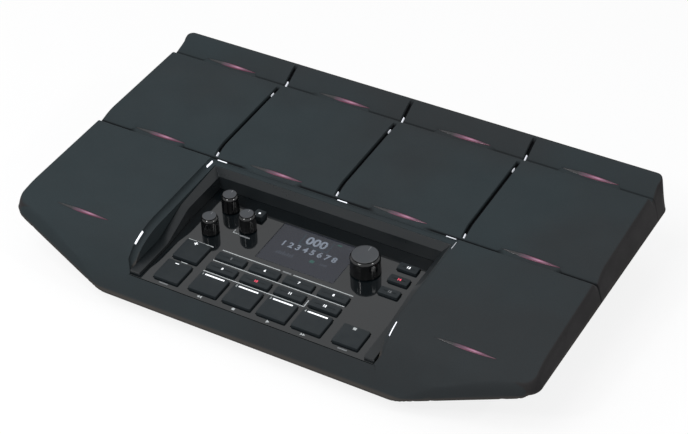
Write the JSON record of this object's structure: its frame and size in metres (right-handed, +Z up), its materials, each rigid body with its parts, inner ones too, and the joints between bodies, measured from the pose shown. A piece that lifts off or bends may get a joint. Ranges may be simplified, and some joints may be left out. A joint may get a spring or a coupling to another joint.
{
  "type": "sampling drum pad",
  "caption": "Flat tabletop drum pad: rubber playing pads in stepped rows round a sunken panel with knobs, keys and a display, on a low undercut case.",
  "frame": {"origin": "on the resting plane, under the middle of the overall outline", "axes": "+X to the player's right along the long side, +Y from the player to the back, +Z up"},
  "size_m": [0.45, 0.2732, 0.0838],
  "materials": {
    "pad_rubber": "fine matte moulded silicone rubber, charcoal",
    "frame_plastic": "moulded ABS, plain",
    "plate_steel": "plain steel",
    "pad_foam": "closed-cell foam",
    "sensor_brass": "turned brass",
    "light_pink": "tinted light guide",
    "light_white": "milky light guide",
    "board_green": "solder-masked circuit board",
    "bezel_plastic": "satin black moulding",
    "panel_plastic": "glossy black sheet",
    "button_rubber": "matte key rubber",
    "knob_plastic": "gloss black moulding",
    "socket_plastic": "black connector plastic",
    "display_glass": "tinted cover glass",
    "display_black": "display module housing",
    "case_plastic": "textured black ABS",
    "foot_rubber": "non-slip rubber"
  },
  "bodies": {
    "root": {"pad_skin": "pad_rubber", "pad_frame": "frame_plastic", "pad_plates": "plate_steel", "case_screws": "plate_steel", "pad_foam": "pad_foam", "pad_sensors": "sensor_brass", "stand_inserts": "sensor_brass", "pad_lights": "light_pink", "corner_lights": "light_white", "light_boards": "board_green", "panel_board": "board_green", "main_board": "board_green", "jack_board": "board_green", "panel_bezel": "bezel_plastic", "control_panel": "panel_plastic", "pot_bodies": "socket_plastic", "encoder_body": "socket_plastic", "panel_switches": "socket_plastic", "audio_jacks": "socket_plastic", "data_sockets": "socket_plastic", "usb_socket": "socket_plastic", "power_inlet": "socket_plastic", "power_switch": "socket_plastic", "display_window": "display_glass", "display_module": "display_black", "lower_case": "case_plastic", "rubber_feet": "foot_rubber"},
    "kit_minus_key": {"kit_minus_button": "button_rubber"},
    "kit_plus_key": {"kit_plus_button": "button_rubber"},
    "stop_sound_key": {"stop_sound_button": "button_rubber"},
    "home_key": {"home_button": "button_rubber"},
    "number_key_1": {"number_button_1": "button_rubber"},
    "number_key_2": {"number_button_2": "button_rubber"},
    "number_key_3": {"number_button_3": "button_rubber"},
    "number_key_4": {"number_button_4": "button_rubber"},
    "upper_slim_key_1": {"upper_slim_button_1": "button_rubber"},
    "upper_slim_key_2": {"upper_slim_button_2": "button_rubber"},
    "upper_slim_key_3": {"upper_slim_button_3": "button_rubber"},
    "upper_slim_key_4": {"upper_slim_button_4": "button_rubber"},
    "lower_slim_key_1": {"lower_slim_button_1": "button_rubber"},
    "lower_slim_key_2": {"lower_slim_button_2": "button_rubber"},
    "lower_slim_key_3": {"lower_slim_button_3": "button_rubber"},
    "lower_slim_key_4": {"lower_slim_button_4": "button_rubber"},
    "side_key_1": {"side_button_1": "button_rubber"},
    "side_key_2": {"side_button_2": "button_rubber"},
    "side_key_3": {"side_button_3": "button_rubber"},
    "volume_pot_1": {"volume_knob_1": "knob_plastic", "pot_shaft_1": "plate_steel"},
    "volume_pot_2": {"volume_knob_2": "knob_plastic", "pot_shaft_2": "plate_steel"},
    "volume_pot_3": {"volume_knob_3": "knob_plastic", "pot_shaft_3": "plate_steel"},
    "dial_plunger": {"encoder_plunger": "socket_plastic"},
    "dial": {"value_dial": "knob_plastic", "dial_shaft": "plate_steel"},
    "power_tip": {"power_rocker": "socket_plastic"}
  },
  "joints": [
    {"name": "kit_minus_press", "type": "slide", "parent": "root", "child": "kit_minus_key", "axis": [0, 0.0906, -0.9959], "range_m": [0, 0.001], "stiffness_N_per_m": 600},
    {"name": "kit_plus_press", "type": "slide", "parent": "root", "child": "kit_plus_key", "axis": [0, 0.0906, -0.9959], "range_m": [0, 0.001], "stiffness_N_per_m": 600},
    {"name": "stop_sound_press", "type": "slide", "parent": "root", "child": "stop_sound_key", "axis": [0, 0.0906, -0.9959], "range_m": [0, 0.001], "stiffness_N_per_m": 600},
    {"name": "home_press", "type": "slide", "parent": "root", "child": "home_key", "axis": [0, 0.0906, -0.9959], "range_m": [0, 0.001], "stiffness_N_per_m": 600},
    {"name": "number_1_press", "type": "slide", "parent": "root", "child": "number_key_1", "axis": [0, 0.0906, -0.9959], "range_m": [0, 0.001], "stiffness_N_per_m": 600},
    {"name": "number_2_press", "type": "slide", "parent": "root", "child": "number_key_2", "axis": [0, 0.0906, -0.9959], "range_m": [0, 0.001], "stiffness_N_per_m": 600},
    {"name": "number_3_press", "type": "slide", "parent": "root", "child": "number_key_3", "axis": [0, 0.0906, -0.9959], "range_m": [0, 0.001], "stiffness_N_per_m": 600},
    {"name": "number_4_press", "type": "slide", "parent": "root", "child": "number_key_4", "axis": [0, 0.0906, -0.9959], "range_m": [0, 0.001], "stiffness_N_per_m": 600},
    {"name": "upper_slim_1_press", "type": "slide", "parent": "root", "child": "upper_slim_key_1", "axis": [0, 0.0906, -0.9959], "range_m": [0, 0.001], "stiffness_N_per_m": 600},
    {"name": "upper_slim_2_press", "type": "slide", "parent": "root", "child": "upper_slim_key_2", "axis": [0, 0.0906, -0.9959], "range_m": [0, 0.001], "stiffness_N_per_m": 600},
    {"name": "upper_slim_3_press", "type": "slide", "parent": "root", "child": "upper_slim_key_3", "axis": [0, 0.0906, -0.9959], "range_m": [0, 0.001], "stiffness_N_per_m": 600},
    {"name": "upper_slim_4_press", "type": "slide", "parent": "root", "child": "upper_slim_key_4", "axis": [0, 0.0906, -0.9959], "range_m": [0, 0.001], "stiffness_N_per_m": 600},
    {"name": "lower_slim_1_press", "type": "slide", "parent": "root", "child": "lower_slim_key_1", "axis": [0, 0.0906, -0.9959], "range_m": [0, 0.001], "stiffness_N_per_m": 600},
    {"name": "lower_slim_2_press", "type": "slide", "parent": "root", "child": "lower_slim_key_2", "axis": [0, 0.0906, -0.9959], "range_m": [0, 0.001], "stiffness_N_per_m": 600},
    {"name": "lower_slim_3_press", "type": "slide", "parent": "root", "child": "lower_slim_key_3", "axis": [0, 0.0906, -0.9959], "range_m": [0, 0.001], "stiffness_N_per_m": 600},
    {"name": "lower_slim_4_press", "type": "slide", "parent": "root", "child": "lower_slim_key_4", "axis": [0, 0.0906, -0.9959], "range_m": [0, 0.001], "stiffness_N_per_m": 600},
    {"name": "side_1_press", "type": "slide", "parent": "root", "child": "side_key_1", "axis": [0, 0.0906, -0.9959], "range_m": [0, 0.001], "stiffness_N_per_m": 600},
    {"name": "side_2_press", "type": "slide", "parent": "root", "child": "side_key_2", "axis": [0, 0.0906, -0.9959], "range_m": [0, 0.001], "stiffness_N_per_m": 600},
    {"name": "side_3_press", "type": "slide", "parent": "root", "child": "side_key_3", "axis": [0, 0.0906, -0.9959], "range_m": [0, 0.001], "stiffness_N_per_m": 600},
    {"name": "volume_knob_1_turn", "type": "hinge", "parent": "root", "child": "volume_pot_1", "pos_m": [-0.0773, -0.05702, 0.03894], "axis": [0, -0.0906, 0.9959], "range_deg": [-150, 150]},
    {"name": "volume_knob_2_turn", "type": "hinge", "parent": "root", "child": "volume_pot_2", "pos_m": [-0.0773, -0.02754, 0.04162], "axis": [0, -0.0906, 0.9959], "range_deg": [-150, 150]},
    {"name": "volume_knob_3_turn", "type": "hinge", "parent": "root", "child": "volume_pot_3", "pos_m": [-0.0529, -0.04158, 0.04034], "axis": [0, -0.0906, 0.9959], "range_deg": [-150, 150]},
    {"name": "value_dial_press", "type": "slide", "parent": "root", "child": "dial_plunger", "axis": [0, 0.0906, -0.9959], "range_m": [0, 0.0005], "stiffness_N_per_m": 1500},
    {"name": "value_dial_turn", "type": "hinge", "parent": "dial_plunger", "child": "dial", "pos_m": [0.052, -0.04268, 0.04024], "axis": [0, -0.0906, 0.9959], "continuous": true},
    {"name": "power_rocker_tip", "type": "hinge", "parent": "root", "child": "power_tip", "pos_m": [0.128, 0.1288, 0.031], "axis": [0, 0, 1], "range_deg": [-16, 0]}
  ]
}
